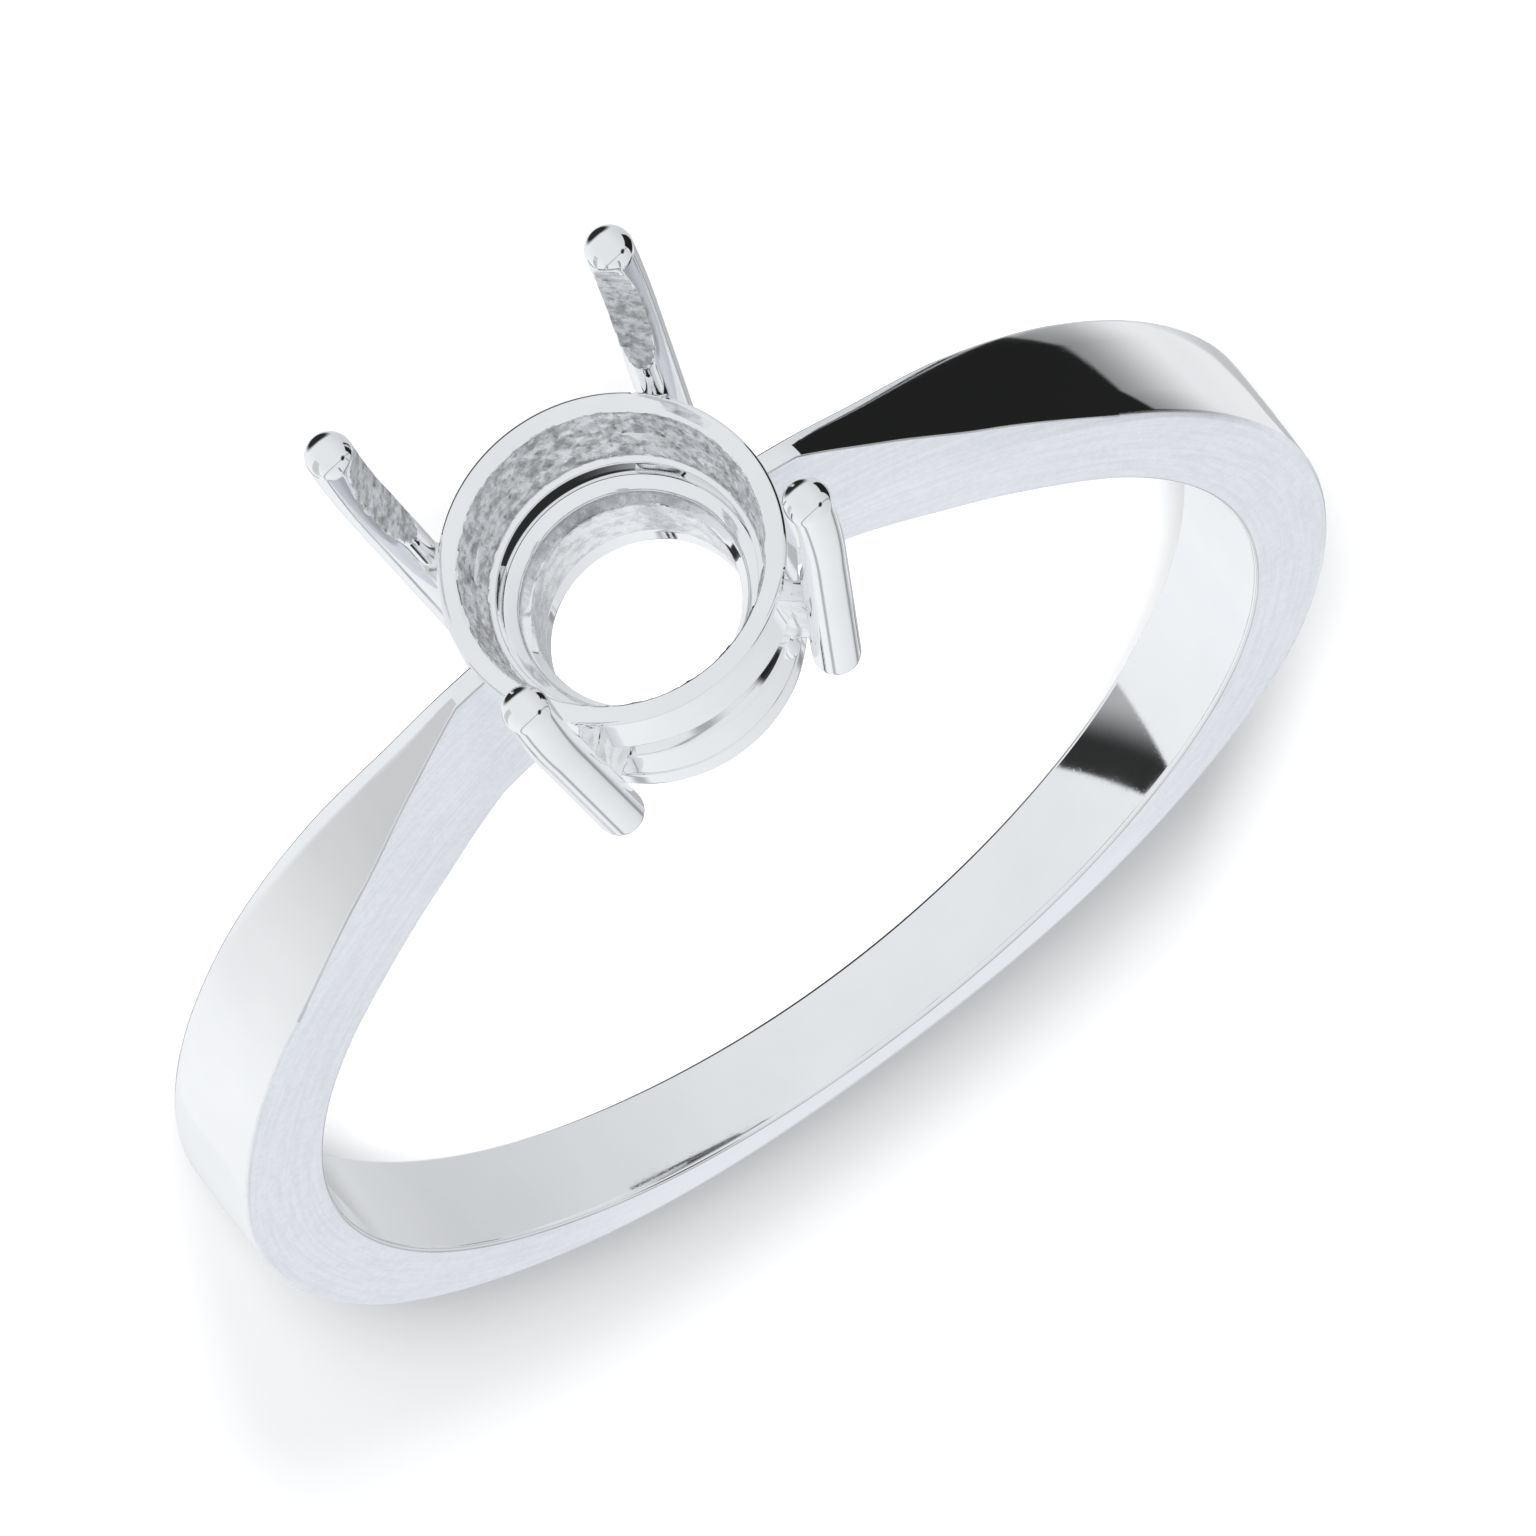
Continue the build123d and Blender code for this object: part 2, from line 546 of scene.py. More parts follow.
class Workpiece:
    """A mesh in the making, in millimetres, standing."""

    MERGE_MM = 0.0005
    CREASE = math.radians(42)

    def __init__(self) -> None:
        """Starts empty."""
        self.mesh = bmesh.new()
        self.surfaces: list[Surface] = []

    def outline(
        self, points: Sequence[tuple[float, float, float]], closed: bool = True
    ) -> list[bmesh.types.BMVert]:
        """Draws a section.

        Args:
            points: its corners.
            closed: whether the last corner joins the first.

        Returns:
            The corners.
        """
        corners = [self.mesh.verts.new(point) for point in points]
        for first, second in zip(corners, corners[1:] + corners[:1] if closed else corners[1:]):
            self.mesh.edges.new((first, second))
        return corners

    def bevel(self, geometry: list[Any], offset: float, segments: int, affect: str = "VERTICES") -> None:
        """Rounds corners of a section, or edges.

        Args:
            geometry: the corners or edges.
            offset: how far back from them the rounding starts.
            segments: straight pieces in the rounding.
            affect: VERTICES, or EDGES, which then keep clear of each other.
        """
        bmesh.ops.bevel(
            self.mesh, geom=geometry, offset=offset, offset_type="OFFSET", segments=segments,
            profile=0.5, affect=affect, material=-1, clamp_overlap=affect == "EDGES",
        )

    def divide(self, wanted: Callable[[Vector, Vector], int]) -> None:
        """Cuts section edges into shorter ones.

        Args:
            wanted: takes an edge's two ends and gives the number of cuts.
        """
        for edge in list(self.mesh.edges):
            cuts = wanted(edge.verts[0].co, edge.verts[1].co)
            if cuts:
                bmesh.ops.subdivide_edges(self.mesh, edges=[edge], cuts=cuts)

    def merge(self) -> None:
        """Joins points that lie in one place."""
        bmesh.ops.remove_doubles(self.mesh, verts=self.mesh.verts[:], dist=self.MERGE_MM)

    def face_outwards(self) -> None:
        """Turns every face outwards."""
        bmesh.ops.recalc_face_normals(self.mesh, faces=self.mesh.faces[:])

    def turn(self, axis: tuple[float, float, float], angle: float, steps: int, whole: bool = False) -> None:
        """Spins everything drawn so far round an axis through the origin.

        Args:
            axis: the axis.
            angle: how far, in radians.
            steps: steps of the spin.
            whole: whether the end meets the start.
        """
        drawn = self.mesh.verts[:] + self.mesh.edges[:]
        bmesh.ops.spin(
            self.mesh, geom=drawn, cent=(0, 0, 0), axis=axis, angle=angle, steps=steps,
            use_merge=whole, use_normal_flip=False,
        )
        self.merge()

    def move(self, place: Callable[[Vector], Vector]) -> None:
        """Draws every point to the new place that a function gives it."""
        for vert in self.mesh.verts:
            vert.co = place(vert.co)

    def unroll(self, place: Callable[[Vector], Span]) -> None:
        """Gives the mesh the map that worked surfaces follow.

        Args:
            place: gives a point's place along and across the piece, in millimetres.
        """
        layer = self.mesh.loops.layers.uv.new(RUN_MAP)
        for face in self.mesh.faces:
            for loop in face.loops:
                loop[layer].uv = place(loop.vert.co)

    def finish(self, surface: Callable[[bmesh.types.BMFace], Surface]) -> None:
        """Cleans the mesh and gives each face its finish.

        Args:
            surface: takes a face and gives its finish.
        """
        self.merge()
        self.face_outwards()
        for face in self.mesh.faces:
            finish = surface(face)
            if finish not in self.surfaces:
                self.surfaces.append(finish)
            face.material_index = self.surfaces.index(finish)
            face.smooth = True
        for edge in self.mesh.edges:
            edge.smooth = edge.calc_face_angle(0.0) < self.CREASE

    def lay(self, name: str) -> bpy.types.Object:
        """Lays the piece on the table as an object of the scene.

        Args:
            name: the piece's name.

        Returns:
            The object, dressed, riding on the ring's body.
        """
        bmesh.ops.transform(self.mesh, matrix=TO_TABLE, verts=self.mesh.verts[:])
        data = bpy.data.meshes.new(name)
        self.mesh.to_mesh(data)
        self.mesh.free()
        piece = in_scene(name, data)
        for surface in self.surfaces:
            data.materials.append(surface.value.material())
        piece.modifiers.new("flats", "WEIGHTED_NORMAL").keep_sharp = True
        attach(piece, BODY)
        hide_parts(NODE)
        log.info("%s: %d faces", name, len(data.polygons))
        return piece


# The pieces of the ring


@dataclass(frozen=True)
class Sizes:
    """The sizes that several pieces follow, in millimetres; heights are above the finger hole's centre.

    Attributes:
        cast_noise: how fast the octaves of a cast skin fade, how much finer each is, and how many there are.
    """

    finger_radius: float = 8.65
    flat_height: float = 8.05
    foot_thickness: float = 0.48
    lower_height: float = 1.43
    slot_height: float = 0.34
    upper_height: float = 1.34
    culet_radius: float = 1.6
    lower_radius: float = 2.42
    crest_radius: float = (culet_radius + lower_radius) / 2
    foot_top: float = flat_height + foot_thickness
    lower_top: float = foot_top + lower_height
    upper_bottom: float = lower_top + slot_height
    upper_top: float = upper_bottom + upper_height
    prong_count: int = 4
    cast_noise: tuple[float, float, int] = (0.7, 2.0, 4)

    def to_prong(self, index: int) -> Matrix:
        """Takes what lies along X to the place of a prong."""
        return Matrix.Rotation(math.tau / self.prong_count * (index + 0.5), 4, "Z")


RING = Sizes()


class Rail(Enum):
    """The long edges of the shank, from the finger outwards."""

    INNER = 1
    KNEE = 2
    OUTER = 3


@dataclass
class Shank:
    """The band and its two shoulders, drawn from a plain band that is one deep and two wide.

    Attributes:
        join_angle: where the shoulders meet the head, in degrees from the bottom, as all angles here.
        end_radius: how far from the head's axis they end, inside it.
        end_angle: where that is.
        crown: how far the outer face rises in its middle.
        worn_round: how round the outer edges are at the bottom, where they are worn.
        worn_to: where the wear ends.
        crest_from: where the edge between flank and outer face starts to get its painted line of shade.
        least_slope: how deep a flank is at least, in roundings of its edge.
        snap: how near two points of the plain band count as level.
        outer_painted_shade: how far sideways an outer edge looks where a darker colour paints a line of
            shade along it, from 0 to 1.
        inner_painted_shade: how far sideways the edge of the finger hole looks where the same painted line
            of shade lies.
        stations: rows of angle share, then how far thickness and width have gone from the bottom's to the
            side's and from the side's to the shoulder's: grow, rise, spread and pinch.
    """

    bottom_thickness: float = 0.8
    side_thickness: float = 1.43
    shoulder_depth: float = 2.74
    bottom_width: float = 1.48
    side_width: float = 2.05
    shoulder_width: float = 0.87
    shoulder_crest: float = 0.36
    shoulder_slope: float = 1.4
    edge_chamfer: float = 0.06
    join_angle: float = 180 - math.degrees(math.asin(RING.lower_radius / RING.finger_radius))
    end_radius: float = (RING.culet_radius + RING.crest_radius) / 2
    end_angle: float = 180 - math.degrees(math.asin(end_radius / RING.flat_height))
    crown: float = 0.02
    inner_round: float = 0.09
    outer_round: float = 0.035
    worn_round: float = 0.20
    worn_to: float = 62.0
    crest_from: float = 130.0
    least_slope: float = 1.5
    steps: int = 300
    band_radius: float = 10.0
    band_round: float = 0.1
    round_segments: int = 5
    snap: float = 0.01
    # Spans of sideways look where the edges get a darker colour that paints a line of shade.
    outer_painted_shade: Span = (0.38, 0.84)
    inner_painted_shade: Span = (0.80, 0.93)
    stations: tuple[tuple[float, float, float, float, float], ...] = (
        (0.000, 0.00, 0.00, 0.00, 0.00),
        (0.215, 0.40, 0.00, 0.30, 0.00),
        (0.430, 0.84, 0.00, 0.85, 0.00),
        (0.640, 1.00, 0.00, 1.00, 0.00),
        (0.790, 1.00, 0.06, 1.00, 0.04),
        (0.890, 1.00, 0.29, 1.00, 0.32),
        (0.952, 1.00, 0.60, 1.00, 0.70),
        (1.000, 1.00, 1.00, 1.00, 1.00),
    )
    tracks: list[Track] = field(init=False)

    def __post_init__(self) -> None:
        """Runs a track through each column of the stations."""
        places, *columns = zip(*self.stations)
        self.tracks = [Track(places, column) for column in columns]

    def section(self, angle: float) -> tuple[float, float, float, float]:
        """The sizes of the cross-section.

        Args:
            angle: the angle from the bottom, in radians.

        Returns:
            Thickness, half width, depth of the sloping flank and how far it comes in.
        """
        share = math.degrees(abs(angle)) / self.join_angle
        grow, rise, spread, pinch = (track.at(share) for track in self.tracks)
        thickness = self.bottom_thickness + (self.side_thickness - self.bottom_thickness) * grow
        thickness += (self.shoulder_depth - self.side_thickness) * rise
        width = self.bottom_width + (self.side_width - self.bottom_width) * spread
        width += (self.shoulder_width - self.side_width) * pinch
        slope = self.edge_chamfer + (self.shoulder_slope - self.edge_chamfer) * pinch
        crest_inset = (self.shoulder_width - self.shoulder_crest) / 2
        inset = self.edge_chamfer + (crest_inset - self.edge_chamfer) * pinch
        return thickness, width / 2, slope, inset

    def drawn(self, point: Vector) -> Vector:
        """Draws a point of the plain band to its place on the shank.

        Args:
            point: a point of the plain band, whose flank starts halfway through its depth.

        Returns:
            Its place on the shank.
        """
        angle = math.atan2(point.x, -point.z)
        depth = math.hypot(point.x, point.z) - self.band_radius
        thickness, half, slope, inset = self.section(angle)
        worn = 1 - min(math.degrees(abs(angle)) / self.worn_to, 1.0) ** 2
        outer_round = self.outer_round + (self.worn_round - self.outer_round) * worn
        slope = max(slope, outer_round * self.least_slope)
        inner, outer = RING.finger_radius, RING.finger_radius + thickness
        if -math.cos(angle) * inner > RING.flat_height:
            inner = RING.flat_height / -math.cos(angle)
        if depth <= 0.5:
            rounding = self.inner_round
            radius = inner + self.eased(depth * 2, rounding, outer - slope - inner)
        else:
            rounding = outer_round
            radius = outer - self.eased(2 - depth * 2, rounding, slope)
            half -= inset * (1 - (outer - radius) / slope)
            radius += self.crown * (1 - point.y**2) * (depth * 2 - 1)
        across = half - self.eased(1 - abs(point.y), rounding, half, 1.0)
        return Vector((math.sin(angle) * radius, math.copysign(across, point.y), -math.cos(angle) * radius))

    def eased(self, share: float, rounding: float, reach: float, scale: float = 2.0) -> float:
        """How far a point lies from an edge whose rounding keeps its own size.

        Args:
            share: how far it lies on the plain band, from 0 at the edge to 1.
            rounding: the rounding's size at this place.
            reach: the distance that a share of 1 stands for.
            scale: how much a distance on the plain band counts in the share.

        Returns:
            The distance.
        """
        edge = self.band_round * scale
        if share < edge:
            return rounding * share / edge
        return rounding + (reach - rounding) * (share - edge) / (1 - edge)

    def build(self) -> bpy.types.Object:
        """Makes the shank.

        Returns:
            The object.
        """
        work = Workpiece()
        bm = work.mesh
        rim = ((0, -1), (0.5, -1), (1, -1), (1, -0.5), (1, 0), (1, 0.5), (1, 1), (0.5, 1), (0, 1))
        work.outline([(0.0, across, -self.band_radius - depth) for depth, across in rim])
        end = math.radians(self.end_angle)
        bmesh.ops.transform(bm, matrix=Matrix.Rotation(end, 4, "Y"), verts=bm.verts[:])
        work.turn((0, 1, 0), -2 * end, self.steps)
        marks = self.mark_rails(bm)
        for rail in Rail:
            offset = self.band_round / 2 if rail is Rail.KNEE else self.band_round
            edges = [edge for edge in bm.edges if edge[marks] == rail.value]
            work.bevel(edges, offset, self.round_segments, "EDGES")
        bmesh.ops.holes_fill(bm, edges=[edge for edge in bm.edges if edge.is_boundary], sides=0)
        work.move(self.drawn)
        work.unroll(self.run)
        work.finish(self.surface)
        return work.lay("shank")

    def run(self, point: Vector) -> Span:
        """How far round the ring a point lies, and how far across its surfaces."""
        return math.atan2(point.x, -point.z) * RING.finger_radius, math.hypot(point.x, point.z) + point.y

    def mark_rails(self, bm: bmesh.types.BMesh) -> bmesh.types.BMLayerItem:
        """Marks the long edges of the plain band.

        Args:
            bm: the plain band.

        Returns:
            The layer that holds each edge's mark.
        """
        layer = bm.edges.layers.int.new("rail")
        for edge in bm.edges:
            depths = [math.hypot(v.co.x, v.co.z) - self.band_radius for v in edge.verts]
            across = [v.co.y for v in edge.verts]
            level = abs(depths[0] - depths[1]) < self.snap and abs(across[0] - across[1]) < self.snap
            if level and abs(abs(across[0]) - 1) < self.snap:
                edge[layer] = Rail.INNER.value + round(depths[0] * 2)
        return layer

    def surface(self, face: bmesh.types.BMFace) -> Surface:
        """The flat sides and flanks are satin, the crests and inner edges rougher and darker with a painted
        line of shade, and the rest is polished.

        Args:
            face: a face of the shank.

        Returns:
            Its finish.
        """
        middle, sideways = face.calc_center_median(), abs(face.normal.y)
        outwards = face.normal.x * middle.x + face.normal.z * middle.z > 0
        low, high = self.outer_painted_shade if outwards else self.inner_painted_shade
        if outwards and math.degrees(abs(math.atan2(middle.x, -middle.z))) <= self.crest_from:
            high = low
        if sideways > high:
            return Surface.SATIN
        # EDGE's darker colour paints a line of shade along these edges.
        return Surface.EDGE if sideways > low else Surface.POLISHED


@dataclass
class Turned:
    """A ring of the head, turned round its axis.

    Attributes:
        name: the piece's name.
        outline: corners as (radius, height, rounding).
        cast: the lowest and highest radius of the inner faces that keep their cast skin.
        skin: the finish of these faces.
        grain_mm: how high their skin stands.
        grain_scale: how fine it is, in lumps to the millimetre.
        inwards: how squarely they look at the axis at least, from 0 to 1.
        piece_mm: how long the pieces of the outline are.
        steps: steps round the axis.
    """

    name: str
    outline: tuple[tuple[float, float, float], ...]
    cast: Span = (0.0, 0.0)
    skin: Surface = Surface.CAST
    grain_mm: float = 0.022
    grain_scale: float = 4.5
    inwards: float = 0.55
    piece_mm: float = 0.07
    round_segments: int = 4
    steps: int = 256

    def build(self) -> None:
        """Makes the ring."""
        work = Workpiece()
        corners = work.outline([(radius, 0.0, height) for radius, height, _ in self.outline])
        for corner, (_, _, rounding) in zip(corners, self.outline):
            work.bevel([corner], rounding, self.round_segments)
        work.divide(lambda a, b: int((a - b).length / self.piece_mm))
        work.turn((0, 0, 1), math.tau, self.steps, whole=True)
        work.face_outwards()
        for vert in work.mesh.verts:
            if self.is_cast(vert.co, vert.normal):
                lump = noise.fractal(vert.co * self.grain_scale, *RING.cast_noise)
                vert.co += vert.normal * self.grain_mm * lump
        work.finish(self.surface)
        work.lay(self.name)

    def is_cast(self, point: Vector, normal: Vector) -> bool:
        """Whether a place has kept its cast skin.

        Args:
            point: the place.
            normal: the way that its surface looks.

        Returns:
            Whether no wheel reached it.
        """
        radius = math.hypot(point.x, point.y)
        inwards = -(normal.x * point.x + normal.y * point.y) / radius
        return self.cast[0] < radius < self.cast[1] and inwards > self.inwards

    def surface(self, face: bmesh.types.BMFace) -> Surface:
        """Cast inside where no wheel reached, and polished elsewhere."""
        return self.skin if self.is_cast(face.calc_center_median(), face.normal) else Surface.POLISHED


@dataclass
class Prong:
    """One of the four wires that hold the stone, leaning out, then bent straighter.

    Attributes:
        flat_depth: how deep the flat on its inner side is cut.
        flat_from: where the flat starts, as a share of the length.
        flat_to: where it ends.
        flat_bow: how its depth fades at both ends; the lower, the more abruptly.
        grain_mm: how rough the flat is.
        grain_scale: how fine its roughness is.
    """

    diameter: float = 0.76
    foot_radius: float = 2.86
    foot_height: float = RING.foot_top - 0.3
    bend_radius: float = 3.5
    bend_height: float = RING.upper_top + 1.26
    tip_radius: float = 3.7
    tip_height: float = RING.upper_top + 3.76
    foot_round: float = 0.12
    foot_segments: int = 5
    tip_round: float = 0.35
    tip_segments: int = 10
    flat_depth: float = 0.16
    flat_from: float = 0.50
    flat_to: float = 0.955
    flat_bow: float = 0.6
    grain_mm: float = 0.012
    grain_scale: float = 5.0
    sides: int = 48
    rows: int = 90

    def path(self, run: float) -> tuple[Vector, Vector]:
        """The wire's middle line in the plane of X and Z.

        Args:
            run: the length from the foot.

        Returns:
            The place, and the direction of the wire there.
        """
        foot = Vector((self.foot_radius, 0, self.foot_height))
        bend = Vector((self.bend_radius, 0, self.bend_height))
        straight = (bend - foot).length
        lean = (bend - foot).normalized()
        if run <= straight:
            return foot + lean * run, lean
        chord = Vector((self.tip_radius, 0, self.tip_height)) - bend
        start = math.atan2(lean.x, lean.z)
        turn = 2 * (math.atan2(chord.x, chord.z) - start)
        curve = chord.length * (turn / 2) / math.sin(turn / 2)
        angle = start + turn * (run - straight) / curve
        bent = Vector((math.cos(start) - math.cos(angle), 0, math.sin(angle) - math.sin(start)))
        return bend + bent * curve / turn, Vector((math.sin(angle), 0, math.cos(angle)))

    def length(self) -> float:
        """The wire's length from foot to tip."""
        straight = math.hypot(self.bend_radius - self.foot_radius, self.bend_height - self.foot_height)
        return straight + math.hypot(self.tip_radius - self.bend_radius, self.tip_height - self.bend_height)

    def flat(self, height: float) -> float:
        """How deep the flat is cut.

        Args:
            height: the height on the straight rod.

        Returns:
            The depth, or nothing below and above the flat.
        """
        lens = (height / self.length() - self.flat_from) / (self.flat_to - self.flat_from)
        return self.flat_depth * math.sin(math.pi * lens) ** self.flat_bow if 0 < lens < 1 else 0.0

    def shaped(self, point: Vector, seed: Vector) -> Vector:
        """Flattens the inner side of the straight rod, and bends the rod along the prong's line.

        Args:
            point: a point of the rod.
            seed: where this prong's roughness is read.

        Returns:
            Its place on the prong.
        """
        depth, inner = self.flat(point.z), point.x
        if depth:
            rough = self.grain_mm * noise.fractal(point * self.grain_scale + seed, *RING.cast_noise)
            inner = max(inner, depth - self.diameter / 2 + rough)
        place, along = self.path(point.z)
        return place + Vector((along.z, 0, -along.x)) * inner + Vector((0, point.y, 0))

    def build(self, index: int) -> None:
        """Makes one prong.

        Args:
            index: which prong.
        """
        radius, length = self.diameter / 2, self.length()
        work = Workpiece()
        rod = work.outline([(0, 0, 0), (radius, 0, 0), (radius, 0, length), (0, 0, length)], closed=False)
        work.bevel([rod[1]], self.foot_round, self.foot_segments)
        work.bevel([rod[2]], self.tip_round, self.tip_segments)
        work.divide(lambda a, b: self.rows if abs(a.z - b.z) > length / 2 else 0)
        work.turn((0, 0, 1), math.tau, self.sides, whole=True)
        cast = work.mesh.faces.layers.int.new("cast")
        for face in work.mesh.faces:
            middle = face.calc_center_median()
            face[cast] = middle.x < self.flat(middle.z) - radius
        seed = Vector((3.0 * index, 7.0, 1.0))
        work.move(lambda point: self.shaped(point, seed))
        work.finish(lambda face: Surface.CAST if face[cast] else Surface.POLISHED)
        bmesh.ops.transform(work.mesh, matrix=RING.to_prong(index), verts=work.mesh.verts[:])
        work.lay(f"prong_{index + 1}")


@dataclass
class Joints:
    """The solder between the prongs and the head.

    Attributes:
        inside: how far from the head's axis the solder starts.
        outside: where it ends.
        flare: how much wider it is there than in its middle, to each side.
        waist: how high it is in its middle, as a share of its ends.
        corner: how far its corners are rounded off, as a share.
        lump_mm: how lumpy it is.
        lump_scale: how fine its lumps are.
        lump_seed: the seed of the lumps, so that every run gives the same ones.
    """

    inside: float = 2.2
    outside: float = 3.12
    low: float = 9.12
    high: float = 11.12
    half_width: float = 0.20
    flare: float = 0.17
    waist: float = 0.86
    corner: float = 0.10
    lump_mm: float = 0.02
    lump_scale: float = 1.7
    lump_seed: int = 1
    cuts: int = 11

    def build(self) -> None:
        """Makes all the soldered joints."""
        noise.seed_set(self.lump_seed)
        work = Workpiece()
        bm = work.mesh
        for index in range(RING.prong_count):
            made = bmesh.ops.create_cube(bm, size=2.0)["verts"]
            edges = list({edge for vert in made for edge in vert.link_edges})
            bmesh.ops.subdivide_edges(bm, edges=edges, cuts=self.cuts, use_grid_fill=True)
            for vert in [vert for vert in bm.verts if not vert.tag]:
                vert.co = RING.to_prong(index) @ self.filled(vert.co, index)
                vert.tag = True
        work.finish(lambda face: Surface.SOLDERED)
        work.lay("solder")

    def filled(self, point: Vector, index: int) -> Vector:
        """Draws a point of a plain cube to its place in the joint of the prong along X.

        Args:
            point: a point of a cube whose sides run from -1 to 1.
            index: which joint, so that no two are alike.

        Returns:
            Its place.
        """
        half = self.half_width + self.flare * point.x**2
        middle, reach = (self.low + self.high) / 2, (self.high - self.low) / 2
        reach *= self.waist + (1 - self.waist) * point.x**2
        x = self.inside + (self.outside - self.inside) * (point.x + 1) / 2
        ease = 1 - self.corner * (abs(point.y) * abs(point.z)) ** 3
        place = Vector((x, point.y * half * ease, middle + point.z * reach * ease))
        lump = noise.noise_vector(place * self.lump_scale + Vector((5.0 * index, 0, 0)))
        return place + lump * self.lump_mm


@dataclass
class Head:
    """The head: its foot, its two rings, its prongs and its solder.

    Attributes:
        step_radius: where the small step in the inner bevel of the lower ring is.
        lower_foot: the radius at which the lower ring's outer wall leaves the foot.
        sunk: how far the lower ring sinks into the foot; also the rounding of hidden corners.
        filed: the finish and the roughness of the lower ring's inner wall.
        ledge_width: the width of the ledge at the bottom of the upper ring's funnel.
    """

    foot_radius: float = 2.34
    lower_foot: float = 2.27
    foot_bevel: float = 0.22
    lower_bevel: float = 0.43
    step_radius: float = 1.77
    step_height: float = 9.85
    upper_radius: float = 2.68
    upper_bevel: float = 0.33
    upper_wall: float = 0.32
    rim_round: float = 0.07
    sunk: float = 0.02
    filed: tuple[Surface, float] = (Surface.FILED, 0.003)
    ledge_width: float = 0.10
    ledge_height: float = 0.09
    funnel_steps: int = 320
    funnel_piece_mm: float = 0.05

    def rings(self) -> list[Turned]:
        """The turned pieces from the finger outwards.

        Returns:
            The foot, the lower ring and the upper ring.
        """
        foot = (
            (RING.culet_radius, RING.flat_height, 0.05),
            (self.foot_radius, RING.flat_height, 0.06),
            (self.foot_radius, RING.foot_top, 0.05),
            (RING.culet_radius, RING.foot_top, self.sunk),
        )
        bevel_foot = RING.lower_top - self.lower_bevel
        lower = (
            (RING.culet_radius, RING.foot_top - self.sunk, self.sunk),
            (self.lower_foot, RING.foot_top - self.sunk, self.sunk),
            (RING.lower_radius, RING.foot_top + self.foot_bevel, 0.06),
            (RING.lower_radius, bevel_foot, 0.05),
            (RING.crest_radius, RING.lower_top, 0.08),
            (self.step_radius, self.step_height, 0.04),
            (RING.culet_radius, bevel_foot, 0.05),
        )
        ledge_top = RING.upper_bottom + self.ledge_height
        funnel = (RING.crest_radius + self.ledge_width, self.upper_radius - self.upper_wall)
        upper = (
            (RING.crest_radius, RING.upper_bottom, self.sunk),
            (RING.lower_radius, RING.upper_bottom, 0.03),
            (self.upper_radius, RING.upper_bottom + self.upper_bevel, 0.06),
            (self.upper_radius, RING.upper_top, self.rim_round),
            (funnel[1], RING.upper_top, 0.05),
            (funnel[0], ledge_top, 0.03),
            (RING.crest_radius, ledge_top - self.sunk, self.sunk),
        )
        return [
            Turned("head_foot", foot),
            Turned("lower_ring", lower, (0.0, RING.culet_radius + self.sunk), *self.filed),
            Turned("upper_ring", upper, funnel, piece_mm=self.funnel_piece_mm, steps=self.funnel_steps),
        ]

    def build(self) -> None:
        """Makes the head's pieces."""
        for ring in self.rings():
            ring.build()
        for index in range(RING.prong_count):
            Prong().build(index)
        Joints().build()


# The studio


@dataclass(frozen=True)
class Card:
    """A small card held beside the ring, seen only as a reflection in the metal.

    Attributes:
        name: the card's name.
        place: its middle, in millimetres.
        facing: the way it faces round the table, in degrees from +X towards +Y.
        size: its width and height, in millimetres.
        tones: how bright its left and right ends are.
        change: where the tone starts and stops to change, from its middle, in millimetres.
        tilt: how far that place moves to the right for each millimetre up.
        leans: how far its left and right edges move to the right for each millimetre up.
        edge: how wide its soft edge is, in millimetres.
        tint: its colour.
    """

    name: str
    place: tuple[float, float, float]
    facing: float
    size: Span
    tones: Span = (0.02, 0.02)
    change: Span = (-1.0, 1.0)
    tilt: float = 0.0
    leans: Span = (0.0, 0.0)
    edge: float = 0.6
    tint: Colour = (0.97, 0.985, 1.0)

    def material(self) -> bpy.types.Material:
        """A tone that changes across the card and fades at its edges.

        Returns:
            The material.
        """
        graph, new = Graph.of_material(self.name)
        across, upwards, _ = graph.parts(graph.place((1.0, 1.0, 1.0), (0.0, 0.0, 0.0)))
        change = (across - upwards * self.tilt).over(*self.change)
        tone = change * (self.tones[1] - self.tones[0]) + self.tones[0]
        half_width, half_height = self.size[0] / 2, self.size[1] / 2
        from_edges = (
            across - upwards * self.leans[0] + half_width,
            upwards * self.leans[1] + half_width - across,
            upwards + half_height,
            half_height - upwards,
        )
        cover: Wire | float = 1.0
        for from_edge in from_edges:
            cover = from_edge.over(0, self.edge) * cover
        glow = graph.wire("ShaderNodeEmission", {"Color": (*self.tint, 1.0), "Strength": tone})
        clear = graph.wire("ShaderNodeBsdfTransparent")
        seen = graph.wire("ShaderNodeMixShader", {0: cover, 1: clear, 2: glow})
        graph.node("ShaderNodeOutputMaterial", {"Surface": seen})
        return new

    def build(self) -> None:
        """Holds the card up."""
        width = self.size[0] + self.size[1] * max(abs(lean) for lean in self.leans)
        card = staged(self.name, (width * MILLIMETRE, self.size[1] * MILLIMETRE), self.material())
        turn = Euler((math.pi / 2, 0.0, math.radians(self.facing + 90)), "XYZ")
        card.matrix_world = Matrix.Translation(Vector(self.place) * MILLIMETRE) @ turn.to_matrix().to_4x4()
        card.visible_camera = card.visible_diffuse = card.visible_shadow = False
        card.visible_transmission = card.visible_volume_scatter = False


